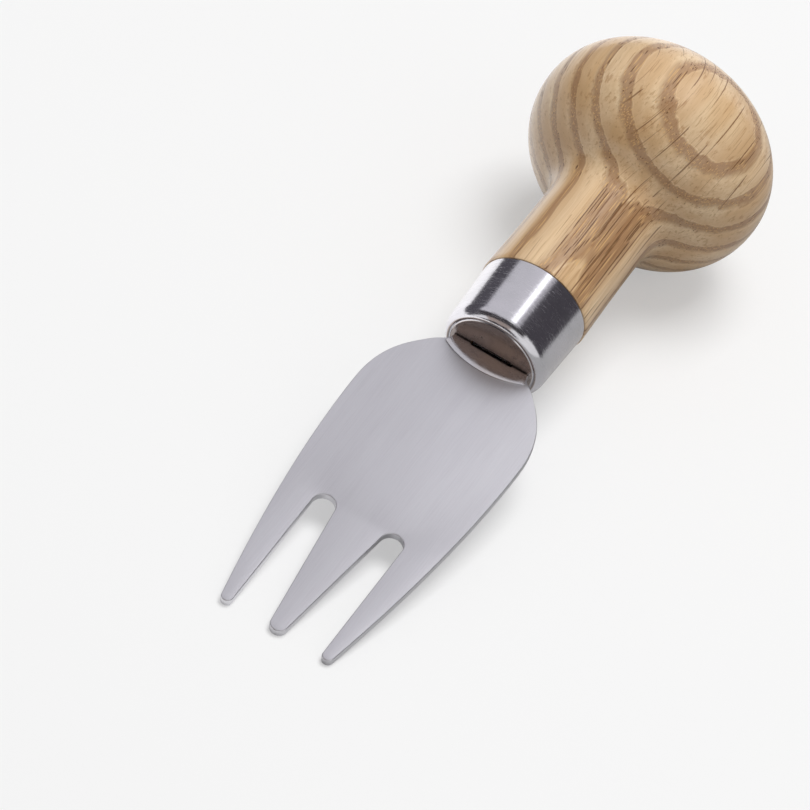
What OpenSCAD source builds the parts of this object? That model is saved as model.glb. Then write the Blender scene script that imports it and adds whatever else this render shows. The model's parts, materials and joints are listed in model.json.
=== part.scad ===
// Three-tined cheese knife with a waisted, round-knobbed oak handle and a drawn steel ferrule.
// The knife lies as it rests on a table: the knob and the outer tines touch z = 0,
// the blade points along +X, and the origin is under the middle of its length.
// Every module below is written along the knife's own axis, with x = 0 at the ferrule's front
// face and +x towards the tines, and lay_down() then tilts the whole knife into its rest.

/* [Blade] */
// Length of blade in front of the ferrule
blade_len = 61.2; // [54:0.2:72]
// Width across the widest part of the blade
blade_w = 29; // [26:0.5:34]
// Thickness of the steel sheet
blade_t = 1.3; // [1:0.1:2]
// Width of the blade where it meets the ferrule
root_w = 13.2; // [12:0.2:14]
// Length of the shoulder, from the ferrule to the widest part
shoulder_len = 15.8; // [13:0.2:20]
// Radius that eases every edge of the sheet
edge_r = 0.25; // [0.1:0.05:0.4]

/* [Tines] */
// Distance from the ferrule to the closed end of the slots
slot_start = 36.5; // [32:0.5:42]
// Width of a slot at its closed end
slot_w = 3.7; // [2.8:0.1:4]
// Distance across both slots, outside to outside
slot_span = 15.5; // [14.8:0.1:16.4]
// Width of the middle tine at its tip
middle_tip_w = 2.8; // [2:0.1:3.4]
// Width of an outer tine at its tip
outer_tip_w = 1.9; // [1.4:0.1:2.4]

/* [Root pad and tang] */
// Reach of the polished root pad in front of the ferrule
pad_reach = 3.7; // [2.8:0.1:5]
// Radius of the pad's round front edge
pad_r = 14.4; // [11:0.2:20]
// Height of the pad above each satin face
pad_rise = 0.2; // [0.1:0.05:0.4]
// Width of the tang
tang_w = 6.8; // [5.6:0.1:7]
// Length of the tang behind the ferrule's front face
tang_len = 47; // [36:1:50]
// Length of the taper at the end of the tang
tang_taper = 9; // [4:1:14]

/* [Ferrule] */
// Length of the ferrule
ferrule_len = 12.4; // [10:0.2:16]
// Diameter of the ferrule at its open back end
ferrule_d = 18.2; // [17.4:0.1:19]
// Diameter of the ferrule where its front shoulder starts
ferrule_front_d = 17.5; // [17:0.1:18.4]
// Radius of the ferrule's rounded front shoulder
ferrule_shoulder_r = 2; // [1.2:0.1:2.4]
// Wall of the ferrule
ferrule_wall = 0.6; // [0.4:0.05:0.8]
// Gap between the tang and the sides of its slot in the ferrule
slot_side_gap = 0.3; // [0.1:0.05:0.5]
// Gap between the root pad's faces and the long edges of the ferrule's slot
slot_face_gap = 0.45; // [0.2:0.05:0.6]

/* [Handle] */
// Length of wood behind the ferrule
handle_len = 51.2; // [46:0.2:60]
// Diameter of the neck where it leaves the ferrule
neck_d = 18.6; // [18.2:0.1:19.4]
// Diameter of the neck at its waist
waist_d = 17.9; // [16:0.1:18.2]
// Distance from the ferrule to the start of the flare under the knob
flare_start = 17.2; // [14:0.2:19]
// Diameter of the knob
knob_d = 40; // [36:0.5:44]
// Length of the knob's back half, from its widest ring to its end
knob_back = 14.9; // [13:0.1:18]
// Length of the knob's front half, from its widest ring to the neck's axis
knob_front = 14.8; // [13:0.1:17]
// Softness of the edge where the wood starts behind the ferrule
neck_edge = 0.35; // [0.1:0.05:0.5]

/* [Handle bore] */
// Diameter of the drilled hole that takes the tang
bore_d = 7.9; // [7.6:0.1:8.6]
// Depth of that hole behind the ferrule's front face
bore_depth = 50; // [48:1:54]
// Distance from the ferrule's front face to the glue in that hole
glue_start = 6; // [3:0.5:12]
// Gap that glue fills between the ferrule and the wooden spigot
glue_gap = 0.1; // [0.05:0.01:0.2]
// Gap left between the spigot's end and the inside of the ferrule's front wall
spigot_gap = 0.4; // [0.2:0.05:0.8]

/* [Hidden] */
$fn = 96;
// One overrun for every cut that passes right through
overrun = ferrule_wall;
// Points along each curved stretch of the blade's outline
curve_steps = 12;
// Points round the end of a tine or a slot
end_steps = 8;
// Points along each half of the knob's profile
knob_steps = 26;
// Places of the shoulder curve's control points, as shares of the shoulder's length and rise
heel_shares = [[0.09, 0], [0.10, 0.158], [0.17, 0.29]];
shoulder_shares = [[0.353, 0.635], [0.56, 1], [1, 1]];
// Places of the side curve's control points, as shares of the side's length and its draw-in
side_shares = [[0.30, 0], [0.64, 0.37]];
// Angle by which the outer tine's outer edge has turned in when it reaches the tip
tip_lean = 9;
// How full the front half of the knob is; 2 is a plain ellipse
front_fullness = 2.15;
// How full the back half of the knob is
back_fullness = 2;
// Place of the end of the flare on the knob's front half, as an angle from the axis
flare_end_angle = 36;
// Places of the neck curve's two control points, as shares of the way from ferrule to flare
neck_shares = [0.33, 0.67];
// Pull of the flare's two control points, as shares of the flare's length
flare_shares = [0.52, 0.36];
// Share of the tang's width that is left at its end
tang_end_share = 0.5;
// Half angle of the drill point at the bottom of the bore
drill_angle = 59;

// A point on a cubic curve, with u from 0 to 1
function cubic(a, b, c, d, u) =
    pow(1 - u, 3) * a + 3 * pow(1 - u, 2) * u * b + 3 * (1 - u) * pow(u, 2) * c + pow(u, 3) * d;
// A cubic curve from a to d that leaves out its first point
function curve(a, b, c, d, steps) = [for (i = [1:steps]) cubic(a, b, c, d, i / steps)];
// An arc round a centre, from one angle to another
function arc(centre, r, from, to, steps) =
    [for (i = [0:steps]) let (a = from + (to - from) * i / steps) centre + r * [cos(a), sin(a)]];
function unit(v) = v / norm(v);
function reversed(list) = [for (i = [len(list) - 1:-1:0]) list[i]];

// The outline of the upper half of the blade, from the ferrule along the outer edge to the
// outer tine, round the slot, and along the middle tine to its tip on the axis
root = [0, root_w / 2];
rise = blade_w / 2 - root_w / 2;
function on_shoulder(share) = root + [share.x * shoulder_len, share.y * rise];
widest = on_shoulder(shoulder_shares[2]);
outer_tip_r = outer_tip_w / 2;
outer_tip = [blade_len - outer_tip_r, slot_span / 2 + outer_tip_r];
side_end = outer_tip + outer_tip_r * [cos(90 - tip_lean), sin(90 - tip_lean)];
function on_side(share) =
    [widest.x + share.x * (side_end.x - widest.x), widest.y + share.y * (side_end.y - widest.y)];
slot_r = slot_w / 2;
slot_end = [slot_start + slot_r, slot_span / 2 - slot_r];
middle_tip_r = middle_tip_w / 2;
middle_tip = [blade_len - middle_tip_r, 0];
// The middle tine narrows evenly; this is the slope of its sides
middle_lean = atan2(slot_end.y - slot_r - middle_tip_r, middle_tip.x - slot_end.x);
half_outline = concat(
    [root],
    curve(root, on_shoulder(heel_shares[0]), on_shoulder(heel_shares[1]),
          on_shoulder(heel_shares[2]), end_steps),
    curve(on_shoulder(heel_shares[2]), on_shoulder(shoulder_shares[0]),
          on_shoulder(shoulder_shares[1]), widest, curve_steps),
    curve(widest, on_side(side_shares[0]), on_side(side_shares[1]), side_end, curve_steps),
    arc(outer_tip, outer_tip_r, 90 - 2 * tip_lean, -90, end_steps),
    arc(slot_end, slot_r, 90, 270 - middle_lean, 2 * end_steps),
    arc(middle_tip, middle_tip_r, 90 - middle_lean, 0, end_steps)
);
mirrored_half = [for (p = reversed(half_outline)) if (p.y > 0) [p.x, -p.y]];
outline = concat(half_outline, mirrored_half);
corners = len(outline);

// The outline drawn in by a distance; the two root corners only slide along the ferrule's face
function inward(i) =
    i == 0 ? [0, -1] :
    i == corners - 1 ? [0, 1] :
    let (along = unit(outline[i + 1] - outline[i - 1])) [along.y, -along.x];
function drawn_in(d) = [for (i = [0:corners - 1]) outline[i] + d * inward(i)];

// One section of the sheet for each step of its eased edges, from the lower face to the upper
edge_angles = [0, 45, 90];
function edge_ring(a, side) =
    [for (p = drawn_in(edge_r * (1 - sin(a))))
        [p.x, p.y, side * (blade_t / 2 - edge_r * (1 - cos(a)))]];
rings = concat([for (a = edge_angles) edge_ring(a, -1)],
               [for (a = reversed(edge_angles)) edge_ring(a, 1)]);
ring_count = len(rings);

// Where the outline's widest corner, the middle of its side, and the slot's first, rearmost
// and last corners come in the list of corners
widest_at = end_steps + curve_steps;
side_at = widest_at + curve_steps / 2;
slot_at = widest_at + curve_steps + end_steps + 2;
slot_back_at = slot_at + end_steps;
slot_done_at = slot_at + 2 * end_steps;
// The flat face of the sheet as fans of triangles. A fan spreads from its first corner, so
// each one is a stretch of the sheet that this corner can see all of.
function across(i) = corners - 1 - i;
function run(from, to) = [for (i = [from:to]) i];
flat_face = [
    concat([across(0)], run(0, widest_at), run(slot_back_at, slot_done_at)),
    concat([slot_done_at], run(across(slot_done_at), across(slot_back_at)),
           run(across(widest_at), across(0))),
    concat(run(widest_at, side_at), run(slot_at, slot_back_at)),
    concat([across(widest_at)], run(across(slot_back_at), across(slot_at)),
           run(across(side_at), across(widest_at) - 1)),
    concat([slot_at], run(side_at, slot_at - 1)),
    run(across(slot_at), across(side_at)),
    run(slot_done_at, across(slot_done_at))
];
// The same fans turned over, each still spreading from the same corner
function turned_over(fan) = concat([fan[0]], [for (i = [len(fan) - 1:-1:1]) fan[i]]);

// The handle's profile as [x, radius], from the ferrule's back edge to the end of the knob
wood_start = -ferrule_len;
knob_centre = wood_start - handle_len + knob_back;
neck_r = neck_d / 2;
waist_r = waist_d / 2;
function superellipse(a, length, fullness, direction) =
    [knob_centre + direction * length * pow(cos(a), 2 / fullness),
     knob_d / 2 * pow(sin(a), 2 / fullness)];
function knob_front_point(a) = superellipse(a, knob_front, front_fullness, 1);
function knob_back_point(a) = superellipse(a, knob_back, back_fullness, -1);
flare_from = [wood_start - flare_start, waist_r];
flare_to = knob_front_point(flare_end_angle);
// The knob's slope where the flare joins it, from two points one degree apart
flare_dir = unit(knob_front_point(flare_end_angle + 1) - flare_to);
flare_span = norm(flare_to - flare_from);
neck_profile = concat(
    [[wood_start, neck_r - neck_edge]],
    [[wood_start - neck_edge, neck_r]],
    curve([wood_start - neck_edge, neck_r],
          [wood_start - neck_shares[0] * flare_start, (neck_r + waist_r) / 2],
          [wood_start - neck_shares[1] * flare_start, waist_r],
          flare_from, curve_steps),
    curve(flare_from,
          flare_from - [flare_shares[0] * flare_span, 0],
          flare_to - flare_shares[1] * flare_span * flare_dir,
          flare_to, curve_steps)
);
knob_profile = concat(
    [for (i = [1:knob_steps])
        knob_front_point(flare_end_angle + (90 - flare_end_angle) * i / knob_steps)],
    [for (i = [1:knob_steps - 1]) knob_back_point(90 - 90 * i / knob_steps)],
    [[knob_centre - knob_back, 0]]
);

// How far a set of [x, radius] points reaches down when the knife is tilted by an angle
function reach_down(points, tilt) = max([for (p = points) p.x * sin(tilt) + p.y * cos(tilt)]);
tip_points = [[blade_len - edge_r, blade_t / 2], [blade_len, blade_t / 2 - edge_r]];
// The tilt at which the knob and the tines touch the table together, found by halving
function rest_tilt(low, high, turns) =
    let (middle = (low + high) / 2)
    turns == 0 ? middle :
    reach_down(knob_profile, middle) > reach_down(tip_points, middle)
        ? rest_tilt(middle, high, turns - 1)
        : rest_tilt(low, middle, turns - 1);
tilt = rest_tilt(0, 45, 40);
rest_height = reach_down(knob_profile, tilt);
front_end = max([for (p = tip_points) p.x * cos(tilt) + p.y * sin(tilt)]);
back_end = min([for (p = knob_profile) p.x * cos(tilt) - p.y * sin(tilt)]);

// The ferrule's inner and outer profiles as [x, radius]
front_r = ferrule_front_d / 2;
back_r = ferrule_d / 2;
face_r = front_r - ferrule_shoulder_r;
inner_shoulder_r = ferrule_shoulder_r - ferrule_wall;
function shoulder_arc(r) = [for (i = [0:end_steps]) let (a = 90 * i / end_steps)
    [-ferrule_shoulder_r + r * cos(a), face_r + r * sin(a)]];
ferrule_outer = concat([[0, 0]], shoulder_arc(ferrule_shoulder_r), [[-ferrule_len, back_r]]);
ferrule_inner = concat([[-ferrule_wall, 0]], shoulder_arc(inner_shoulder_r),
                       [[-ferrule_len, back_r - ferrule_wall]]);
// The spigot follows the inside of the ferrule, less the glue gap
spigot_front = -ferrule_wall - spigot_gap;
spigot_profile = [
    [spigot_front, bore_d / 2],
    [spigot_front, face_r - glue_gap],
    [-ferrule_shoulder_r, front_r - ferrule_wall - glue_gap],
    [wood_start, back_r - ferrule_wall - glue_gap]
];
drill_point = bore_d / 2 / tan(drill_angle);
bore_profile = [[-bore_depth - drill_point, 0], [-bore_depth, bore_d / 2]];

// Turns a profile drawn as [x, radius] about the knife's axis
module turned(profile) {
    rotate([0, 90, 0])
        rotate_extrude()
            polygon([for (p = profile) [p.y, p.x]]);
}

// Tilts the knife about its ferrule and sets it down on the table
module lay_down() {
    translate([-(front_end + back_end) / 2, 0, rest_height])
        rotate([0, tilt, 0])
            children();
}

// The flat sheet with its slots, rounded tine tips and eased edges
module sheet() {
    upper_face = [for (fan = flat_face) [for (i = fan) (ring_count - 1) * corners + i]];
    lower_face = [for (fan = flat_face) turned_over(fan)];
    walls = [for (k = [0:ring_count - 2]) for (i = [0:corners - 1])
        let (j = (i + 1) % corners)
        [k * corners + i, k * corners + j, (k + 1) * corners + j, (k + 1) * corners + i]];
    polyhedron([for (ring = rings) for (p = ring) p], concat(lower_face, upper_face, walls));
}

// The thicker polished pad in front of the ferrule, bounded by an arc
module root_pad() {
    pad_t = blade_t + 2 * pad_rise;
    translate([0, 0, -pad_t / 2])
        linear_extrude(pad_t)
            intersection() {
                polygon(drawn_in(edge_r));
                translate([pad_reach - pad_r, 0])
                    circle(pad_r);
            }
}

// The narrow tang, with a tapered end
module tang() {
    end_w = tang_w * tang_end_share;
    translate([0, 0, -blade_t / 2])
        linear_extrude(blade_t)
            polygon([
                [edge_r, tang_w / 2],
                [-tang_len + tang_taper, tang_w / 2],
                [-tang_len, end_w / 2],
                [-tang_len, -end_w / 2],
                [-tang_len + tang_taper, -tang_w / 2],
                [edge_r, -tang_w / 2]
            ]);
}

// The stamped and ground steel piece: sheet, pad and tang in one
module blade() {
    color([0.74, 0.74, 0.76])
        lay_down() {
            sheet();
            root_pad();
            tang();
        }
}

// The drawn cup that holds the wood, with a slot in its face for the tang
module ferrule() {
    slot_wide = tang_w + 2 * slot_side_gap;
    slot_tall = blade_t + 2 * pad_rise + 2 * slot_face_gap;
    color([0.62, 0.62, 0.65])
        lay_down()
            difference() {
                turned(concat(ferrule_outer, reversed(ferrule_inner)));
                translate([-ferrule_wall - overrun, -slot_wide / 2, -slot_tall / 2])
                    cube([ferrule_wall + 2 * overrun, slot_wide, slot_tall]);
            }
}

// The turned oak: spigot, waisted neck, flare and knob, drilled for the tang
module handle() {
    color([0.72, 0.57, 0.41])
        lay_down()
            turned(concat(spigot_profile, neck_profile, knob_profile, bore_profile));
}

// The cured glue that fills the bore round the tang
module tang_adhesive() {
    glue_r = bore_d / 2 - glue_gap;
    color([0.80, 0.74, 0.58])
        lay_down()
            difference() {
                turned([
                    [-glue_start, 0],
                    [-glue_start, glue_r],
                    [-bore_depth, glue_r],
                    [-bore_depth, 0]
                ]);
                tang();
            }
}

blade();
ferrule();
handle();
tang_adhesive();
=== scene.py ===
# %% [markdown]
# This scene dresses a small cheese knife: a flat steel blade with three tines, a drawn steel
# ferrule, and a turned oak handle that ends in a round knob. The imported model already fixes
# every size and place, so the first step loads it and asks it where things are.
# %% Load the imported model
import json
import math

import bmesh
import bpy
from mathutils import Matrix, Vector


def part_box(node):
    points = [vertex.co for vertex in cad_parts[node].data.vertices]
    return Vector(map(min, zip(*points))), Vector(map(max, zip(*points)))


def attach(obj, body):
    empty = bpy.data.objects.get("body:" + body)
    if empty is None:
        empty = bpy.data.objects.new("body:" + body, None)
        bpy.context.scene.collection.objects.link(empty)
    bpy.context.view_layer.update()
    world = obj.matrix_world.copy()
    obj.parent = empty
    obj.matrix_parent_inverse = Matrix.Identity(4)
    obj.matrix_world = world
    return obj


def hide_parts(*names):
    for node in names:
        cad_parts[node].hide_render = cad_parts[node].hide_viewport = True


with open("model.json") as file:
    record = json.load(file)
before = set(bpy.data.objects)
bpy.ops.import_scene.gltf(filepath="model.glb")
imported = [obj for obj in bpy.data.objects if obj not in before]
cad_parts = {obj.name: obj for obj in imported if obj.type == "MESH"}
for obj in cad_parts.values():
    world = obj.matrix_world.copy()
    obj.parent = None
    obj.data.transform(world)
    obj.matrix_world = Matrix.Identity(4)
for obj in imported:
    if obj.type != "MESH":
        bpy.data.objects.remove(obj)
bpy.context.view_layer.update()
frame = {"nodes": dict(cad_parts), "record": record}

MM = 0.001
print("nodes:", sorted(frame["nodes"]))

# %% [markdown]
# The knife lies at rest on its knob and the tips of its tines, so its own axis slopes. Each new
# piece is easier to draw along that axis, with x = 0 at the ferrule's front face, z = 0 in the
# middle of the steel, and millimetres as the unit. The record's mount on the blade's upper face
# gives both the slope and the place, so one matrix carries every finished piece to its rest.
# %% Find the knife's own axis
MOUNT_X = 27.0
BLADE_T = 1.3
face = frame["record"]["mounts"][0]
tilt = math.atan2(face["axis"][0], face["axis"][2])
turn_down = Matrix.Rotation(tilt, 4, "Y")
start = Vector(face["pos_m"]) - turn_down @ Vector((MOUNT_X * MM, 0, BLADE_T / 2 * MM))
TO_REST = Matrix.Translation(start) @ turn_down @ Matrix.Scale(MM, 4)
print("slope in degrees:", round(math.degrees(tilt), 2), "start:", [round(v, 4) for v in start])

# %% [markdown]
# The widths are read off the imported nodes, so that the looks follow the model. The other sizes
# of the pieces are named here once, in millimetres.
# %% Sizes of the pieces


def width_of(node):
    low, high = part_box(node)
    return (high.y - low.y) / MM


BLADE_W = width_of("blade")
FERRULE_D = width_of("ferrule")
KNOB_D = width_of("handle")
BLADE_LEN = 61.2
ROOT_W = 13.2
SHOULDER_LEN = 15.8
EDGE_R = 0.25
SLOT_START = 36.5
SLOT_W = 3.7
SLOT_SPAN = 15.5
MIDDLE_TIP_W = 2.8
OUTER_TIP_W = 1.9
TIP_LEAN = 9
PAD_RISE = 0.2
print("blade, ferrule and knob:", [round(v, 2) for v in (BLADE_W, FERRULE_D, KNOB_D)])

# %% [markdown]
# Every piece ends the same way: a bmesh in knife millimetres becomes an object whose place is in
# its mesh, which rides on the knife's one body. Flat faces meet round ones all over this knife,
# so faces are shaded smooth and only the edges that turn sharply are marked sharp.
# %% Helpers that finish a piece
SHARP_ANGLE = math.radians(32)


def put_in_order(bm):
    """Sorts corners, edges and faces by place, so that every run gives the same mesh."""
    for items, middle in ((bm.verts, lambda v: v.co),
                          (bm.edges, lambda e: e.verts[0].co + e.verts[1].co),
                          (bm.faces, lambda f: f.calc_center_median())):
        places = {item: tuple(round(c, 6) for c in middle(item)) for item in items}
        ranks = {item: rank for rank, item in enumerate(sorted(items, key=places.get))}
        items.sort(key=ranks.get)


def new_object(name, bm, material=None):
    """Turns a bmesh into a linked object with the same name, and frees the bmesh."""
    put_in_order(bm)
    mesh = bpy.data.meshes.new(name)
    bm.to_mesh(mesh)
    bm.free()
    if material:
        mesh.materials.append(material)
    made = bpy.data.objects.new(name, mesh)
    bpy.context.scene.collection.objects.link(made)
    return made


def finish_piece(name, bm, material):
    for face_ in bm.faces:
        face_.smooth = True
    for edge in bm.edges:
        edge.smooth = edge.calc_face_angle(0) < SHARP_ANGLE
    piece = new_object(name, bm, material)
    piece.data.transform(TO_REST)
    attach(piece, "root")
    print(name, "has", len(piece.data.polygons), "faces")
    return piece


def ease_edges(bm, edges, radius, segments):
    bmesh.ops.bevel(bm, geom=edges, offset=radius, offset_type="OFFSET", affect="EDGES",
                    segments=segments, profile=0.5, material=-1, clamp_overlap=True)


print("edges that turn more than", round(math.degrees(SHARP_ANGLE)), "degrees are marked sharp")

# %% [markdown]
# Materials are node trees, and each one starts from a Principled shader. A small builder keeps
# the trees readable: it adds a node, sets its inputs by name, and links what it is given. Its
# short methods are the steps that the materials repeat.
# %% A small builder for node trees


class Tree:
    def __init__(self, name):
        self.material = bpy.data.materials.new(name)
        self.material.use_nodes = True
        self.nodes = self.material.node_tree.nodes
        self.links = self.material.node_tree.links
        self.shader = self.nodes["Principled BSDF"]

    def feed(self, socket, value):
        if isinstance(value, bpy.types.NodeSocket):
            self.links.new(value, socket)
        else:
            socket.default_value = value

    def add(self, kind, inputs=(), **settings):
        node = self.nodes.new(kind)
        for key, value in settings.items():
            setattr(node, key, value)
        for key, value in dict(inputs).items():
            self.feed(node.inputs[key], value)
        return node

    def math(self, operation, a, b=0.0, c=0.0, clamp=False):
        node = self.add("ShaderNodeMath", {0: a, 1: b, 2: c}, operation=operation, use_clamp=clamp)
        return node.outputs[0]

    def fade(self, value, low, high, out_low=0.0, out_high=1.0):
        node = self.add("ShaderNodeMapRange", {"Value": value, "From Min": low, "From Max": high,
                                               "To Min": out_low, "To Max": out_high},
                        interpolation_type="SMOOTHSTEP")
        return node.outputs["Result"]

    def parts(self, vector):
        """The X, Y and Z of a vector."""
        return self.add("ShaderNodeSeparateXYZ", {0: vector}).outputs

    def distance(self, a, b):
        """How far a point lies from a line, given its two offsets."""
        squares = self.math("ADD", self.math("MULTIPLY", a, a), self.math("MULTIPLY", b, b))
        return self.math("POWER", squares, 0.5)

    def stretch(self, vector, scales):
        node = self.add("ShaderNodeVectorMath", {0: vector, 1: scales}, operation="MULTIPLY")
        return node.outputs["Vector"]

    def noise(self, vector, scales, detail=2.0, roughness=0.5, distortion=0.0):
        """Noise with its own scale along each axis: a small one draws it out that way."""
        node = self.add("ShaderNodeTexNoise", {"Vector": self.stretch(vector, scales),
                                               "Scale": 1.0, "Detail": detail,
                                               "Roughness": roughness, "Distortion": distortion})
        return node.outputs["Fac"]

    def mix(self, factor, a, b):
        node = self.add("ShaderNodeMix", data_type="RGBA")
        self.feed(node.inputs["Factor"], factor)
        self.feed(node.inputs["A"], a)
        self.feed(node.inputs["B"], b)
        return node.outputs["Result"]

    def tint(self, under, mask, share, colour):
        """Lays a colour over another where the mask shows, at a share of full strength."""
        return self.mix(self.math("MULTIPLY", mask, share), under, srgb(*colour))

    def knife_mm(self, centre=(0, 0, 0)):
        """Object coordinates, moved and turned to the knife's own axis and given in millimetres."""
        coordinates = self.add("ShaderNodeTexCoord").outputs["Object"]
        place = TO_REST @ Vector(centre)
        moved = self.add("ShaderNodeVectorMath", {0: coordinates, 1: place}, operation="SUBTRACT")
        turned = self.add("ShaderNodeMapping", {"Vector": moved.outputs["Vector"],
                                                "Rotation": (0, -tilt, 0),
                                                "Scale": (1 / MM,) * 3})
        return turned.outputs["Vector"]

    def bump(self, height, strength, distance_mm):
        node = self.add("ShaderNodeBump", {"Height": height, "Strength": strength,
                                           "Distance": distance_mm * MM})
        return node.outputs["Normal"]

    def surface(self, inputs):
        """Sets or links the shader's own sockets by name, and returns the material."""
        for name, value in inputs.items():
            self.feed(self.shader.inputs[name], value)
        return self.material


def srgb(red, green, blue):
    """A colour as written in a picture, from 0 to 255, made linear for the shader."""
    def linear(value):
        share = value / 255
        return share / 12.92 if share <= 0.04045 else ((share + 0.055) / 1.055) ** 2.4
    return (linear(red), linear(green), linear(blue), 1.0)


print("a middle grey, made linear:", [round(v, 3) for v in srgb(128, 128, 128)[:3]])

# %% [markdown]
# The blade is stamped steel that was finished along its length on a fine belt. The belt leaves
# hair lines, the finest a few hundredths of a millimetre apart, an uneven sheen, and some longer
# scratches. Noise that is stretched along the knife gives all three. Anisotropy could smear the
# reflections too, but without a UV map its direction turns round the blade's middle, so the
# roughness and a faint relief do that work here.
# %% Brushed steel for the blade


def brushed_steel():
    tree = Tree("brushed_steel")
    mm = tree.knife_mm()
    hair = tree.noise(mm, (0.16, 6.0, 6.0), detail=3.0, roughness=0.65)
    bands = tree.noise(mm, (0.04, 0.5, 0.5))
    clouds = tree.noise(mm, (0.035, 0.06, 0.06))
    scratch = tree.noise(mm, (0.11, 4.2, 4.2), detail=1.0, distortion=0.6)
    scratched = tree.fade(scratch, 0.70, 0.76)
    shade = tree.mix(tree.fade(hair, 0.25, 0.75), srgb(213, 212, 216), srgb(220, 219, 223))
    shade = tree.tint(shade, tree.fade(bands, 0.35, 0.7), 0.35, (223, 223, 226))
    rough = tree.math("MULTIPLY_ADD", hair, 0.06, tree.fade(clouds, 0.3, 0.7, 0.36, 0.42))
    height = tree.math("SUBTRACT", hair, tree.math("MULTIPLY", scratched, 0.5))
    return tree.surface({"Base Color": shade, "Roughness": rough, "Metallic": 1.0,
                         "Normal": tree.bump(height, 0.10, 0.02)})


STEEL_BRUSHED = brushed_steel()
print("made", STEEL_BRUSHED.name)

# %% [markdown]
# The pad at the blade's root and the ferrule are polished on a wheel. The polish still has
# faint wheel marks, round the ferrule and across the pad, so the same builder is used with the
# noise stretched the other way. The ferrule's flat face is painted darker and warmer, a painted
# reflection. A thin painted shadow line, colour only, marks the joint between that face and the
# pad.
# %% Polished steel for the ferrule and the root pad
SHADOW_LINE_HEIGHT = BLADE_T / 2 + PAD_RISE
SHADOW_LINE_HALF = 6.6


def polished_steel(name, grain, tone, low_rough, high_rough, relief, painted_face_tone=None):
    tree = Tree(name)
    mm = tree.knife_mm()
    place = tree.parts(mm)
    marks = tree.noise(mm, grain, detail=4.0, roughness=0.6, distortion=0.3)
    clouds = tree.noise(mm, (0.18, 0.12, 0.12))
    shade = tree.mix(tree.fade(clouds, 0.42, 0.66), srgb(*tone), srgb(203, 202, 206))
    # Painted reflection: the ferrule's flat face is coloured darker and warmer, for the dark
    # reflection that it shows
    if painted_face_tone:
        shade = tree.mix(tree.fade(place["X"], -0.10, -0.02), shade, srgb(*painted_face_tone))
    # Painted shadow: a thin dark line along the joint between the pad and the ferrule's face,
    # inside the rim
    above = tree.math("SUBTRACT", tree.math("ABSOLUTE", place["Z"]), SHADOW_LINE_HEIGHT)
    joint_shadow = tree.fade(tree.distance(place["X"], above), 0.30, 0.08)
    inside_rim = tree.fade(tree.math("ABSOLUTE", place["Y"]), SHADOW_LINE_HALF, SHADOW_LINE_HALF - 0.6)
    shade = tree.tint(shade, tree.math("MULTIPLY", joint_shadow, inside_rim), 0.7, (70, 62, 60))
    rough = tree.math("MULTIPLY_ADD", tree.fade(marks, 0.45, 0.75), high_rough - low_rough,
                      low_rough)
    return tree.surface({"Base Color": shade, "Roughness": rough, "Metallic": 1.0,
                         "Normal": tree.bump(marks, relief, 0.02)})


STEEL_FERRULE = polished_steel("polished_ferrule", (7.0, 0.6, 0.6), (210, 208, 213), 0.15, 0.34,
                               0.5, (172, 162, 158))
STEEL_PAD = polished_steel("polished_pad", (0.9, 0.5, 0.5), (206, 201, 199), 0.14, 0.22, 0.06)
print("made", STEEL_FERRULE.name, "and", STEEL_PAD.name)

# %% [markdown]
# Oak is drawn as a solid, the way it grew: rings round a pith line that runs parallel to the
# handle, some way off to one side. Turning the knob cuts through those rings, so the bands bend
# round it by themselves. Every pattern in the wood starts from a point's place in that log: how
# far along the grain, how far round the pith and how far out. Slow noise sways the rings a little.
# %% A place in the log
PITH = (0.0, 31.5, 60.5)
PITH_DISTANCE = 68.0
FIRST_RING = 50.0
RING_W = 4.5


def log_place(tree):
    """The offsets from the pith line, the swayed distance from it, and the place in the log."""
    mm = tree.knife_mm(PITH)
    axis = tree.parts(mm)
    radius = tree.distance(axis["Y"], axis["Z"])
    for scales, detail, reach in (((0.02, 0.06, 0.06), 1.0, 1.6), ((0.1, 0.5, 0.5), 2.0, 1.3)):
        sway = tree.math("SUBTRACT", tree.noise(mm, scales, detail=detail), 0.5)
        radius = tree.math("MULTIPLY_ADD", sway, reach, radius)
    around = tree.math("MULTIPLY", tree.math("ARCTAN2", axis["Y"], axis["Z"]), PITH_DISTANCE)
    place = tree.add("ShaderNodeCombineXYZ", {"X": axis["X"], "Y": around, "Z": radius}).outputs[0]
    return axis, radius, place


def ring_part(tree, radius):
    """How far a point lies through its year's ring, from 0 to 1."""
    rings = tree.math("DIVIDE", tree.math("SUBTRACT", radius, FIRST_RING), RING_W)
    return tree.math("FRACT", rings)


print("rings across the knob:", round(KNOB_D / RING_W, 1))

# %% [markdown]
# Pores are tubes along the grain: long streaks where the surface follows the grain, and pits
# where it cuts across. Drawn-out Voronoi cells hold one tube each. Only a share of the cells is
# picked, and that share is larger in the early band of a ring than in its late wood.
# %% Pores


def pores(tree, place, early, scales, late_share, early_share, size):
    cells = tree.add("ShaderNodeTexVoronoi", {"Vector": tree.stretch(place, scales),
                                              "Scale": 1.0, "Randomness": 1.0})
    pick = tree.add("ShaderNodeSeparateColor", {0: cells.outputs["Color"]}).outputs[0]
    wanted = tree.math("MULTIPLY_ADD", early, early_share - late_share, late_share)
    chosen = tree.math("LESS_THAN", pick, wanted)
    return tree.math("MULTIPLY", tree.fade(cells.outputs["Distance"], size, size * 0.45), chosen)


print("pores take one drawn-out cell each")

# %% [markdown]
# Rays are thin upright sheets that point at the pith. They show as dark spindles a centimetre or
# two long, and only where the surface faces squarely away from the pith. Each has its own Voronoi
# cell too, and the place inside the cell gives the spindle its pointed ends.
# %% Rays
SPINDLE_TAPER = 2.3


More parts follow.
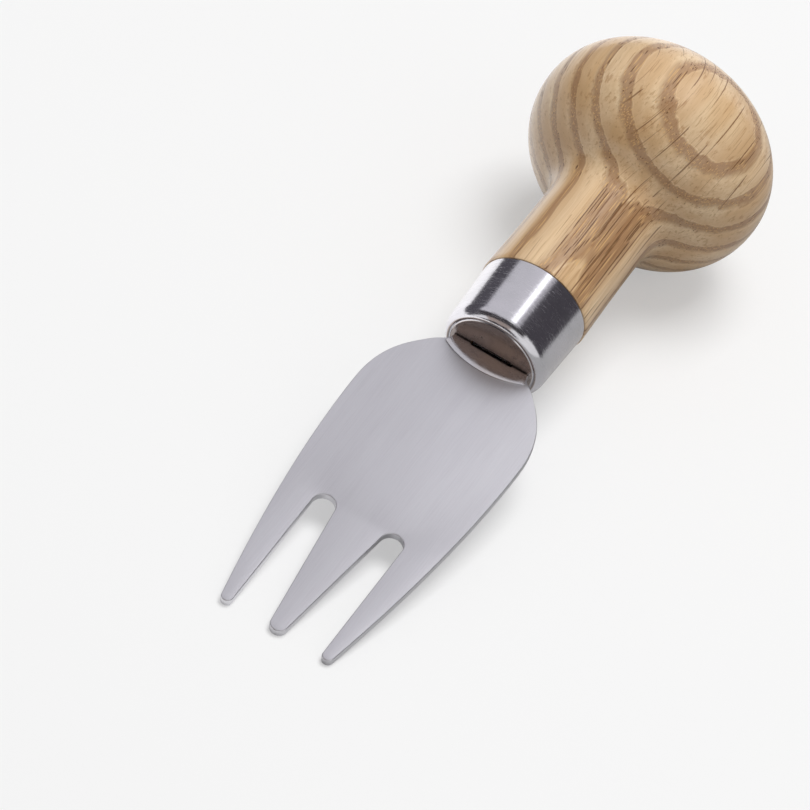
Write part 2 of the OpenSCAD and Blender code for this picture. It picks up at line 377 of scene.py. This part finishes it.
def facing_pith(tree, axis):
    """1 where the surface looks straight away from the pith or at it, down to 0 side on."""
    normal = tree.add("ShaderNodeTexCoord").outputs["Normal"]
    outward = tree.add("ShaderNodeMapping", {"Vector": normal, "Rotation": (0, -tilt, 0)},
                       vector_type="VECTOR").outputs["Vector"]
    from_pith = tree.add("ShaderNodeCombineXYZ", {"Y": axis["Y"], "Z": axis["Z"]}).outputs[0]
    from_pith = tree.add("ShaderNodeVectorMath", {0: from_pith}, operation="NORMALIZE").outputs[0]
    squarely = tree.add("ShaderNodeVectorMath", {0: outward, 1: from_pith},
                        operation="DOT_PRODUCT").outputs["Value"]
    return tree.fade(tree.math("ABSOLUTE", squarely), 0.40, 0.65)


def rays(tree, place, facing, length, gap, thickness, tall, share):
    """Spindles of a length and thickness, a gap apart round the pith, that reach tall outwards."""
    seats = tree.stretch(place, (1 / length, 1 / gap, 1 / tall))
    cells = tree.add("ShaderNodeTexVoronoi", {"Vector": seats, "Scale": 1.0, "Randomness": 1.0})
    off = tree.parts(tree.add("ShaderNodeVectorMath", {0: seats, 1: cells.outputs["Position"]},
                              operation="SUBTRACT").outputs["Vector"])
    narrowing = tree.math("POWER", tree.math("MULTIPLY", off["X"], SPINDLE_TAPER), 2.0)
    taper = tree.math("SUBTRACT", 1.0, narrowing, clamp=True)
    reach = tree.math("MULTIPLY", taper, thickness / gap)
    line = tree.fade(tree.math("SUBTRACT", reach, tree.math("ABSOLUTE", off["Y"])),
                     0.0, 0.6 * thickness / gap)
    pick = tree.add("ShaderNodeSeparateColor", {0: cells.outputs["Color"]}).outputs[1]
    shown = tree.math("MULTIPLY", tree.math("LESS_THAN", pick, share), facing)
    return tree.math("MULTIPLY", line, shown)


print("rays take one spindle each")

# %% [markdown]
# The wood's colour is laid on in thin coats over a pale base: first the slow changes from ring to
# ring, then fibres and streaks, and last the pores, the painted highlights among them, and the
# rays.
# Pores and rays are also pits in the surface, a little rougher than the rest, under a thin coat of
# oil.
# %% Oak for the handle


def oak():
    tree = Tree("oak")
    axis, radius, place = log_place(tree)
    part = ring_part(tree, radius)
    # The porous band opens sharply and fades into the dense late wood
    early = tree.math("MULTIPLY", tree.fade(part, 0.0, 0.06), tree.fade(part, 0.46, 0.24))
    late = tree.fade(part, 0.40, 0.98)
    wide_pores = pores(tree, place, early, (0.030, 2.7, 2.7), 0.0, 0.60, 0.40)
    # Pale specks in the porous band: painted highlights, like glints on the pore walls
    painted_pore_glints = pores(tree, place, early, (0.12, 3.4, 3.4), 0.0, 0.60, 0.50)
    fine_pores = pores(tree, place, early, (0.06, 5.2, 5.2), 0.10, 0.45, 0.40)
    facing = facing_pith(tree, axis)
    tall_rays = rays(tree, place, facing, 24.0, 2.2, 0.17, 8.0, 0.80)
    short_rays = rays(tree, place, facing, 12.0, 1.0, 0.08, 4.0, 0.50)
    fibre = tree.noise(place, (0.035, 2.6, 2.6), detail=4.0, roughness=0.6)
    streaks = tree.noise(place, (0.010, 1.7, 1.7), detail=3.0, roughness=0.6)
    patches = tree.noise(place, (0.012, 0.14, 0.25))

    colour = tree.mix(tree.fade(patches, 0.3, 0.7), srgb(236, 209, 171), srgb(212, 174, 128))
    for mask, share, tone in ((late, 0.32, (184, 144, 104)),
                              (tree.fade(fibre, 0.35, 0.75), 0.45, (196, 160, 118)),
                              (tree.fade(streaks, 0.54, 0.68), 0.50, (166, 120, 74)),
                              (early, 0.66, (146, 103, 69)),
                              (painted_pore_glints, 0.60, (224, 182, 124)),
                              (fine_pores, 0.35, (142, 102, 66)),
                              (wide_pores, 0.85, (104, 72, 46)),
                              (short_rays, 0.55, (148, 106, 68)),
                              (tall_rays, 0.85, (118, 80, 48))):
        colour = tree.tint(colour, mask, share, tone)

    pits = tree.math("MAXIMUM", tree.math("MULTIPLY", fine_pores, 0.4), wide_pores)
    pits = tree.math("MAXIMUM", pits, tree.math("MULTIPLY", tall_rays, 0.5))
    rough = tree.math("MULTIPLY_ADD", pits, 0.22, 0.32)
    rough = tree.math("MULTIPLY_ADD", fibre, 0.10, rough)
    height = tree.math("SUBTRACT", tree.math("MULTIPLY", fibre, 0.25), pits)
    return tree.surface({"Base Color": colour, "Roughness": rough, "Coat Weight": 0.40,
                         "Coat Roughness": 0.12, "Specular IOR Level": 0.3,
                         "Normal": tree.bump(height, 0.5, 0.06)})


OAK = oak()
print("made", OAK.name)

# %% [markdown]
# The glue in the bore is hidden once the knife is whole. It is still a real piece, so it gets
# the look of cured resin: a milky amber, a little cloudy.
# %% Cured glue


def cured_glue():
    tree = Tree("cured_glue")
    cloud = tree.noise(tree.knife_mm(), (0.35, 0.35, 0.35), detail=3.0)
    shade = tree.mix(tree.fade(cloud, 0.3, 0.7), srgb(214, 196, 150), srgb(196, 172, 120))
    return tree.surface({"Base Color": shade, "Roughness": tree.fade(cloud, 0.2, 0.8, 0.35, 0.55),
                         "Normal": tree.bump(cloud, 0.3, 0.1)})


glue = frame["nodes"]["tang_adhesive"]
glue.data.materials.clear()
glue.data.materials.append(cured_glue())
print("glue dressed")

# %% [markdown]
# The blade is cut from sheet, so it starts as a flat drawing. A Bezier curve draws the outline
# with few points: the heel, the shoulder and the long side are cubic stretches, and each round
# tip and slot end is a chain of short arcs. Only one half is listed. The other half is the same
# list turned over, because the blade is the same on both sides of its axis.
# %% Draw the blade's outline
HEEL_SHARES = ((0.09, 0.0), (0.10, 0.158), (0.17, 0.29))
SHOULDER_SHARES = ((0.353, 0.635), (0.56, 1.0))
SIDE_SHARES = ((0.30, 0.0), (0.64, 0.37))


def arc_knots(centre, radius, first, last, count=4):
    """Knots along an arc, each with its two handles; angles in degrees."""
    step = math.radians(last - first) / (count - 1)
    pull = 4 / 3 * math.tan(step / 4) * radius
    knots = []
    for i in range(count):
        angle = math.radians(first) + i * step
        out = Vector((math.cos(angle), math.sin(angle)))
        ahead = Vector((-out.y, out.x)) * pull
        point = Vector(centre) + radius * out
        knots.append([point - ahead, point, point + ahead])
    return knots


def blade_knots():
    root = Vector((0, ROOT_W / 2))
    rise = (BLADE_W - ROOT_W) / 2

    def on_shoulder(share):
        return root + Vector((share[0] * SHOULDER_LEN, share[1] * rise))

    widest = on_shoulder((1, 1))
    tip_r = OUTER_TIP_W / 2
    outer_tip = arc_knots((BLADE_LEN - tip_r, SLOT_SPAN / 2 + tip_r), tip_r, 90 - TIP_LEAN, -90)
    side = outer_tip[0][1] - widest
    slot_r = SLOT_W / 2
    slot_end = (SLOT_START + slot_r, SLOT_SPAN / 2 - slot_r)
    middle_r = MIDDLE_TIP_W / 2
    lean = math.degrees(math.atan2(slot_end[1] - slot_r - middle_r,
                                   BLADE_LEN - middle_r - slot_end[0]))
    slot = arc_knots(slot_end, slot_r, 90, 270 - lean)
    middle = arc_knots((BLADE_LEN - middle_r, 0), middle_r, 90 - lean, 0, 3)
    heel = on_shoulder(HEEL_SHARES[2])
    half = [
        [root, root, on_shoulder(HEEL_SHARES[0])],
        [on_shoulder(HEEL_SHARES[1]), heel, on_shoulder(SHOULDER_SHARES[0])],
        [on_shoulder(SHOULDER_SHARES[1]), widest,
         widest + Vector((SIDE_SHARES[0][0] * side.x, SIDE_SHARES[0][1] * side.y))],
    ]
    outer_tip[0][0] = widest + Vector((SIDE_SHARES[1][0] * side.x, SIDE_SHARES[1][1] * side.y))
    for chain in (outer_tip, slot, middle):
        half += chain
    # Straight stretches between the arcs: their handles lie on the line
    for before, after in ((outer_tip[-1], slot[0]), (slot[-1], middle[0])):
        before[2] = before[1].lerp(after[1], 1 / 3)
        after[0] = before[1].lerp(after[1], 2 / 3)
    flip = Vector((1, -1))
    other = [[p * flip for p in reversed(knot)] for knot in reversed(half[:-1])]
    return half + other


def flat_curve(name, knots, steps):
    """A closed 2D Bezier curve, turned into a bmesh with one flat face."""
    curve = bpy.data.curves.new(name, "CURVE")
    curve.dimensions = "2D"
    curve.fill_mode = "NONE"
    curve.resolution_u = steps
    spline = curve.splines.new("BEZIER")
    spline.bezier_points.add(len(knots) - 1)
    spline.use_cyclic_u = True
    for point, (left, middle, right) in zip(spline.bezier_points, knots):
        point.handle_left_type = "FREE"
        point.handle_right_type = "FREE"
        point.handle_left = left.to_3d()
        point.co = middle.to_3d()
        point.handle_right = right.to_3d()
    drawn = bpy.data.objects.new(name, curve)
    bpy.context.scene.collection.objects.link(drawn)
    mesh = bpy.data.meshes.new_from_object(
        drawn.evaluated_get(bpy.context.evaluated_depsgraph_get()))
    bpy.data.objects.remove(drawn)
    bm = bmesh.new()
    bm.from_mesh(mesh)
    bmesh.ops.remove_doubles(bm, verts=bm.verts, dist=0.0005)
    bmesh.ops.contextual_create(bm, geom=bm.edges)
    return bm


OUTLINE_STEPS = 16
sheet = flat_curve("outline", blade_knots(), OUTLINE_STEPS)
print("outline corners:", len(sheet.verts), "faces:", len(sheet.faces))

# %% [markdown]
# The flat face is pushed to full thickness, and both rims are eased with a bevel of four steps.
# The tang is a bar behind the root that tapers at its end. It is hidden in the handle, but it
# is what holds the knife together, so it is modelled too.
# %% Thicken the sheet and add the tang
TANG_W = 6.8
TANG_LEN = 47.0
TANG_TAPER = 9.0
TANG_END_SHARE = 0.5


def thicken(bm, thickness, edge_r, segments=4):
    bmesh.ops.translate(bm, vec=(0, 0, thickness / 2), verts=bm.verts)
    grown = bmesh.ops.extrude_face_region(bm, geom=bm.faces[:], use_keep_orig=True)
    moved = [v for v in grown["geom"] if isinstance(v, bmesh.types.BMVert)]
    bmesh.ops.translate(bm, vec=(0, 0, -thickness), verts=moved)
    bmesh.ops.recalc_face_normals(bm, faces=bm.faces)
    rims = [e for e in bm.edges if abs(e.verts[0].co.z - e.verts[1].co.z) < thickness / 4]
    ease_edges(bm, rims, edge_r, segments)


def add_tang(bm):
    bar = bmesh.ops.create_cube(bm, size=1)["verts"]
    bmesh.ops.scale(bm, vec=(TANG_LEN - TANG_TAPER, TANG_W, BLADE_T), verts=bar)
    bmesh.ops.translate(bm, vec=((TANG_TAPER - TANG_LEN) / 2 + EDGE_R, 0, 0), verts=bar)
    back = min(v.co.x for v in bar)
    ends = {f for v in bar for f in v.link_faces if all(w.co.x < back + EDGE_R for w in f.verts)}
    pushed = bmesh.ops.extrude_discrete_faces(bm, faces=list(ends))["faces"][0]
    bmesh.ops.translate(bm, vec=(-TANG_TAPER, 0, 0), verts=pushed.verts[:])
    bmesh.ops.scale(bm, vec=(1, TANG_END_SHARE, 1), verts=pushed.verts[:])


thicken(sheet, BLADE_T, EDGE_R)
add_tang(sheet)
bmesh.ops.triangulate(sheet, faces=[f for f in sheet.faces if len(f.verts) > 4])
blade = finish_piece("blade_steel", sheet, STEEL_BRUSHED)
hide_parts("blade")

# %% [markdown]
# In front of the ferrule the blade is a little thicker and mirror bright, inside a shallow arc.
# The pad is drawn with five knots and thickened like the sheet, with a finer eased edge.
# %% The polished root pad
PAD_REACH = 3.7
PAD_R = 14.4
PAD_EDGE = 0.12
PAD_CORNER_Y = 6.95
PAD_ROOT_Y = ROOT_W / 2 - EDGE_R


def pad_knots():
    half_angle = math.degrees(math.asin(PAD_CORNER_Y / PAD_R))
    arc = arc_knots((PAD_REACH - PAD_R, 0), PAD_R, half_angle, -half_angle, 3)
    top, bottom = Vector((0, PAD_ROOT_Y)), Vector((0, -PAD_ROOT_Y))
    arc[0][0] = arc[0][1].lerp(top, 1 / 3)
    arc[-1][2] = arc[-1][1].lerp(bottom, 1 / 3)
    return [[top, top, top.lerp(arc[0][1], 1 / 3)]] + arc + [[bottom, bottom, bottom]]


pad = flat_curve("pad", pad_knots(), OUTLINE_STEPS)
thicken(pad, BLADE_T + 2 * PAD_RISE, PAD_EDGE, 3)
bmesh.ops.triangulate(pad, faces=[f for f in pad.faces if len(f.verts) > 4])
finish_piece("root_pad", pad, STEEL_PAD)

# %% [markdown]
# The ferrule is drawn from sheet as a cup, so its form is a turned one: a line from the middle
# of the face out to the open end and back along the inside, spun once round the axis. Its
# shoulder turns by a little over half a right angle and meets the flat face at a fine crisp rim.
# A shallow groove runs just inside that rim. The slot for the tang is cut afterwards.
# %% Turned pieces and the ferrule's cup
FERRULE_LEN = 12.4
FERRULE_FRONT_D = 17.5
FERRULE_SHOULDER_R = 2.0
FERRULE_WALL = 0.6
SHOULDER_TURN = 50
RIM_W = 0.28
RIM_EDGE = 0.10
GROOVE_W = 0.40
GROOVE_DEPTH = 0.14
ROUND_STEPS = 192


def spin_profile(points):
    """Joins [x, radius] points in order and spins them once round the x axis."""
    bm = bmesh.new()
    verts = [bm.verts.new((x, 0, r)) for x, r in points]
    edges = [bm.edges.new(pair) for pair in zip(verts, verts[1:])]
    bmesh.ops.spin(bm, geom=verts + edges, cent=(0, 0, 0), axis=(1, 0, 0),
                   angle=math.tau, steps=ROUND_STEPS, use_merge=True)
    bmesh.ops.remove_doubles(bm, verts=bm.verts, dist=0.0005)
    bmesh.ops.recalc_face_normals(bm, faces=bm.faces)
    return bm


def rounding(x, r, radius, steps, first=0.0):
    """An arc from the face out to the side, about a centre at x, r; first is where it starts."""
    turns = [first + (math.pi / 2 - first) * i / steps for i in range(steps + 1)]
    return [(x + radius * math.cos(a), r + radius * math.sin(a)) for a in turns]


front_r = FERRULE_FRONT_D / 2
face_r = front_r - FERRULE_SHOULDER_R
shoulder_turn = math.radians(SHOULDER_TURN)
outer_r = FERRULE_SHOULDER_R / math.sin(shoulder_turn)
shoulder = rounding(-FERRULE_SHOULDER_R, front_r - outer_r, outer_r, 20,
                    math.pi / 2 - shoulder_turn)
rim_r = shoulder[0][1]
groove = rim_r - RIM_W - GROOVE_W
# The arc's first two points make way for the rim's own edge
ferrule_profile = [(0, 0), (0, 1.0), (0, groove * 0.6), (0, groove),
                   (-GROOVE_DEPTH, groove + GROOVE_W * 0.4),
                   (-GROOVE_DEPTH, rim_r - RIM_W * 1.4),
                   (-RIM_EDGE * 0.3, rim_r - RIM_W), (0, rim_r - RIM_W * 0.7),
                   (0, rim_r - RIM_EDGE), (-RIM_EDGE * 0.6, rim_r)] + shoulder[2:]
ferrule_profile += [(-FERRULE_LEN + 0.1, FERRULE_D / 2), (-FERRULE_LEN, FERRULE_D / 2 - 0.1),
                    (-FERRULE_LEN, FERRULE_D / 2 - FERRULE_WALL)]
inner = rounding(-FERRULE_SHOULDER_R, face_r, FERRULE_SHOULDER_R - FERRULE_WALL, 12)
ferrule_profile += reversed(inner)
ferrule_profile += [(-FERRULE_WALL, 0)]
cup = spin_profile(ferrule_profile)
print("cup faces:", len(cup.faces))

# %% [markdown]
# The tang passes through an oblong slot in the cup's face. The slot is straight through a curved
# wall, which a boolean cuts cleanly, and its corners are rounded like a punched slot's.
# %% Cut the tang's slot
SLOT_SIDE_GAP = 0.3
SLOT_FACE_GAP = 0.45


def cut_slot(bm):
    """Cuts the tang's slot through the cup's face with a boolean, and returns the new bmesh."""
    cutter = bmesh.new()
    verts = bmesh.ops.create_cube(cutter, size=1)["verts"]
    bmesh.ops.scale(cutter, vec=(4 * FERRULE_WALL, TANG_W + 2 * SLOT_SIDE_GAP,
                                 BLADE_T + 2 * PAD_RISE + 2 * SLOT_FACE_GAP), verts=verts)
    long_edges = [e for e in cutter.edges if abs(e.verts[0].co.x - e.verts[1].co.x) > 1]
    ease_edges(cutter, long_edges, SLOT_SIDE_GAP, 4)
    cup_object = new_object("cup", bm)
    tool_object = new_object("slot", cutter)
    cut = cup_object.modifiers.new("cut", "BOOLEAN")
    cut.object = tool_object
    cut.operation = "DIFFERENCE"
    cut.solver = "EXACT"
    result = bmesh.new()
    result.from_object(cup_object, bpy.context.evaluated_depsgraph_get())
    for made in (cup_object, tool_object):
        bpy.data.objects.remove(made)
    return result


cup = cut_slot(cup)
ferrule = finish_piece("ferrule_cup", cup, STEEL_FERRULE)
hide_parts("ferrule")

# %% [markdown]
# The handle is turned from one piece of oak. Its line is a waisted neck, a hollow flare and a
# knob, whose front half is a slightly full ellipse and whose back half is a plain one. The
# profile also holds the spigot inside the ferrule and the bore for the tang, so the spun form is
# the whole piece of wood.
# %% Turn the handle
HANDLE_LEN = 51.2
NECK_R = 9.3
WAIST_R = 8.95
NECK_EDGE = 0.35
FLARE_START = 17.2
KNOB_BACK = 14.9
KNOB_FRONT = 14.8
FRONT_FULLNESS = 2.15
FLARE_END_ANGLE = 36
FLARE_SHARES = (0.52, 0.36)
NECK_SHARES = (0.33, 0.67)
BORE_R = 3.95
BORE_DEPTH = 50.0
DRILL_ANGLE = 59
GLUE_GAP = 0.1
SPIGOT_GAP = 0.4


def cubic(a, b, c, d, steps):
    """Points along a cubic curve from a to d, without the first."""
    turns = [i / steps for i in range(1, steps + 1)]
    return [(1 - u) ** 3 * a + 3 * (1 - u) ** 2 * u * b + 3 * (1 - u) * u * u * c + u ** 3 * d
            for u in turns]


def handle_profile():
    wood = -FERRULE_LEN
    centre = wood - HANDLE_LEN + KNOB_BACK

    def knob(degrees, length, fullness, way):
        a = math.radians(degrees)
        return Vector((centre + way * length * math.cos(a) ** (2 / fullness),
                       KNOB_D / 2 * math.sin(a) ** (2 / fullness)))

    def front(degrees):
        return knob(degrees, KNOB_FRONT, FRONT_FULLNESS, 1)

    spigot_x = -FERRULE_WALL - SPIGOT_GAP
    spigot = [(spigot_x, BORE_R), (spigot_x, face_r - GLUE_GAP),
              (-FERRULE_SHOULDER_R, front_r - FERRULE_WALL - GLUE_GAP),
              (wood, FERRULE_D / 2 - FERRULE_WALL - GLUE_GAP)]
    neck_start = Vector((wood - NECK_EDGE, NECK_R))
    flare_from = Vector((wood - FLARE_START, WAIST_R))
    flare_to = front(FLARE_END_ANGLE)
    flare_way = (front(FLARE_END_ANGLE + 1) - flare_to).normalized()
    span = (flare_to - flare_from).length
    neck = [Vector((wood, NECK_R - NECK_EDGE)), Vector((wood - 0.06, NECK_R - 0.12)), neck_start]
    neck += cubic(neck_start, Vector((wood - NECK_SHARES[0] * FLARE_START, (NECK_R + WAIST_R) / 2)),
                  Vector((wood - NECK_SHARES[1] * FLARE_START, WAIST_R)), flare_from, 20)
    neck += cubic(flare_from, flare_from - Vector((FLARE_SHARES[0] * span, 0)),
                  flare_to - FLARE_SHARES[1] * span * flare_way, flare_to, 24)
    knob_steps = 40
    turns = [i / knob_steps for i in range(1, knob_steps + 1)]
    knob_line = [front(FLARE_END_ANGLE + (90 - FLARE_END_ANGLE) * u) for u in turns]
    knob_line += [knob(90 - 90 * u, KNOB_BACK, 2, -1) for u in turns[:-1]]
    knob_line += [Vector((centre - KNOB_BACK, 0))]
    drill = BORE_R / math.tan(math.radians(DRILL_ANGLE))
    bore = [(-BORE_DEPTH - drill, 0), (-BORE_DEPTH, BORE_R)]
    return bore + spigot + [tuple(p) for p in neck + knob_line]


wood_bm = spin_profile(handle_profile())
print("open edges of the handle:", sum(e.is_boundary for e in wood_bm.edges))
handle = finish_piece("oak_handle", wood_bm, OAK)
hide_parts("handle")

# %% [markdown]
# The stage is a pale floor that fills the view and keeps the knife's soft shadow. A little light
# of its own brings it near white for the camera. In reflections its side towards -y is brighter,
# which gives the ferrule a pale left edge.
# %% Floor
FLOOR_SIZE = 6.0
FLOOR_TONE = 0.52
CAMERA_LIFT = 0.40
GLOSS_LIFT = 0.85


def plain_material(name, colour, glow=0.0):
    tree = Tree(name)
    tree.surface({"Base Color": (0, 0, 0, 1) if glow else colour, "Roughness": 1.0,
                  "Specular IOR Level": 0.0})
    if glow:
        tree.surface({"Emission Color": colour, "Emission Strength": glow})
    return tree


floor_tree = plain_material("pale_floor", (FLOOR_TONE, FLOOR_TONE, FLOOR_TONE, 1.0))
path = floor_tree.add("ShaderNodeLightPath").outputs
side = floor_tree.parts(floor_tree.add("ShaderNodeTexCoord").outputs["Object"])["Y"]
left_side = floor_tree.math("MULTIPLY", floor_tree.fade(side, 0.02, -0.04), path["Is Glossy Ray"])
lift = floor_tree.math("MULTIPLY", path["Is Camera Ray"], CAMERA_LIFT)
lift = floor_tree.math("MULTIPLY_ADD", left_side, GLOSS_LIFT, lift)
floor_tree.surface({"Emission Color": (1, 1, 1, 1), "Emission Strength": lift})
floor_bm = bmesh.new()
bmesh.ops.create_grid(floor_bm, x_segments=1, y_segments=1, size=FLOOR_SIZE / 2)
floor = new_object("floor", floor_bm, floor_tree.material)
print("floor:", FLOOR_SIZE, "metres wide")

# %% [markdown]
# The world is plain white. It shows at full strength to the camera and in gloss, and is weaker as
# light, so that nothing pale clips to white.
# %% World light
WORLD_LIGHT = 0.34
world = bpy.data.worlds.new("studio")
world.use_nodes = True
bpy.context.scene.world = world
sky = world.node_tree
background = sky.nodes["Background"]
background.inputs["Color"].default_value = (1, 1, 1, 1)
kinds = sky.nodes.new("ShaderNodeLightPath").outputs
seen = kinds["Is Camera Ray"]
for kind in ("Is Glossy Ray", "Is Transmission Ray"):
    either = sky.nodes.new("ShaderNodeMath")
    either.operation = "MAXIMUM"
    sky.links.new(seen, either.inputs[0])
    sky.links.new(kinds[kind], either.inputs[1])
    seen = either.outputs[0]
strength = sky.nodes.new("ShaderNodeMapRange")
strength.inputs["To Min"].default_value = WORLD_LIGHT
strength.inputs["To Max"].default_value = 1.0
sky.links.new(seen, strength.inputs["Value"])
sky.links.new(strength.outputs["Result"], background.inputs["Strength"])
print("world light:", WORLD_LIGHT)

# %% [markdown]
# Polished steel has hardly a colour of its own: what shows on it is its surroundings. Curved
# cards hang round the knife's axis like pieces of a wide tunnel, and each is one straight edge
# spun through an angle. They are seen only in reflections and give the ferrule its dark bands
# and the soft bright streak between them.
# %% Curved cards for the reflections
TUNNEL_R = 650.0


def tunnel_card(name, first, last, near, far, glow):
    """A card from one angle to another, where 0 is upright and 90 is towards +y. Near and far
    are how much its two ends lean along x, as shares of the distance from the ferrule."""
    bm = bmesh.new()
    ends = [bm.verts.new((TUNNEL_R * lean / math.sqrt(1 - lean * lean), 0, TUNNEL_R))
            for lean in (near, far)]
    edge = bm.edges.new(ends)
    # The spin turns about -x, so that positive angles go from upright towards +y
    bmesh.ops.rotate(bm, verts=ends, cent=(0, 0, 0),
                     matrix=Matrix.Rotation(math.radians(-first), 3, "X"))
    bmesh.ops.spin(bm, geom=ends + [edge], cent=(0, 0, 0), axis=(-1, 0, 0),
                   angle=math.radians(last - first), steps=24)
    made = new_object(name, bm, plain_material(name, (*glow, 1.0), 1.0).material)
    made.data.transform(TO_REST)
    made.visible_camera = False
    made.visible_diffuse = False
    made.visible_shadow = False
    made.visible_transmission = False
    print(name, "spans", last - first, "degrees")


tunnel_card("left_flag", -104, -59, -0.90, 0.45, (0.10, 0.095, 0.11))
tunnel_card("grey_sheet", -59, 2, -0.90, -0.06, (0.76, 0.75, 0.79))
tunnel_card("bright_strip", 2, 13, -0.90, -0.30, (2.2, 2.2, 2.25))
tunnel_card("strip_edge", 13, 23, -0.90, -0.06, (0.50, 0.49, 0.52))
tunnel_card("right_flag", 23, 97, -0.90, -0.06, (0.075, 0.07, 0.08))
tunnel_card("roof_flag", -59, 40, -0.06, 0.42, (0.06, 0.055, 0.06))
tunnel_card("warm_sheet", -45, 12, 0.42, 0.72, (0.46, 0.38, 0.34))
tunnel_card("front_flag", -88, 40, 0.72, 0.95, (0.06, 0.055, 0.06))

# %% [markdown]
# Two large soft lamps do the lighting: a key from above and a little behind, which lights the
# neck and the top of the knob and leaves the sides near the floor darker, and a weak fill.
# %% Soft lamps
LAMP_REACH = 1.1


def direction(around, forward):
    """A direction in the knife's frame: an angle from upright towards +y, and a share along x."""
    across = math.sqrt(1 - forward * forward)
    a = math.radians(around)
    local = Vector((forward, across * math.sin(a), across * math.cos(a)))
    return (turn_down @ local).normalized()


def soft_light(name, around, forward, size, watts):
    lamp = bpy.data.lights.new(name, "AREA")
    lamp.shape = "SQUARE"
    lamp.size = size
    lamp.energy = watts
    made = bpy.data.objects.new(name, lamp)
    way = direction(around, forward)
    made.location = start + way * LAMP_REACH
    made.rotation_mode = "QUATERNION"
    made.rotation_quaternion = way.to_track_quat("Z", "Y")
    made.visible_camera = False
    made.visible_glossy = False
    bpy.context.scene.collection.objects.link(made)
    print(name, "lamp:", watts, "watts over", size, "metres")


soft_light("key", 4, -0.38, 0.6, 9.0)
soft_light("fill", 50, 0.2, 0.9, 0.7)

# %% [markdown]
# The camera stands where the photographer stood: in front of the tines and above, with a long
# lens. Its place and aim are given along the knife's own axis, and a roll about the view turns
# the knife's line to the slope that it has in the picture.
# %% Camera
CAMERA_PLACE = Vector((466.12, 173.36, 661.83))
CAMERA_AIM = Vector((15.37, -5.80, 0))
CAMERA_ROLL = 17.47
LENS = 244.4

camera = bpy.data.objects.new("camera", bpy.data.cameras.new("camera"))
camera.data.lens = LENS
camera.data.sensor_width = 36
camera.location = TO_REST @ CAMERA_PLACE
looking = (TO_REST @ CAMERA_PLACE - TO_REST @ CAMERA_AIM).to_track_quat("Z", "Y")
camera.rotation_mode = "QUATERNION"
camera.rotation_quaternion = looking @ Matrix.Rotation(math.radians(CAMERA_ROLL), 3,
                                                       "Z").to_quaternion()
camera.data.clip_start = 0.01
camera.data.clip_end = 20
bpy.context.scene.collection.objects.link(camera)
bpy.context.scene.camera = camera
bpy.context.scene.view_settings.view_transform = "Standard"
print("camera at", [round(v, 3) for v in camera.location])

# %% [markdown]
# The scene is finished here.
# %% Finish
print("scene finished")
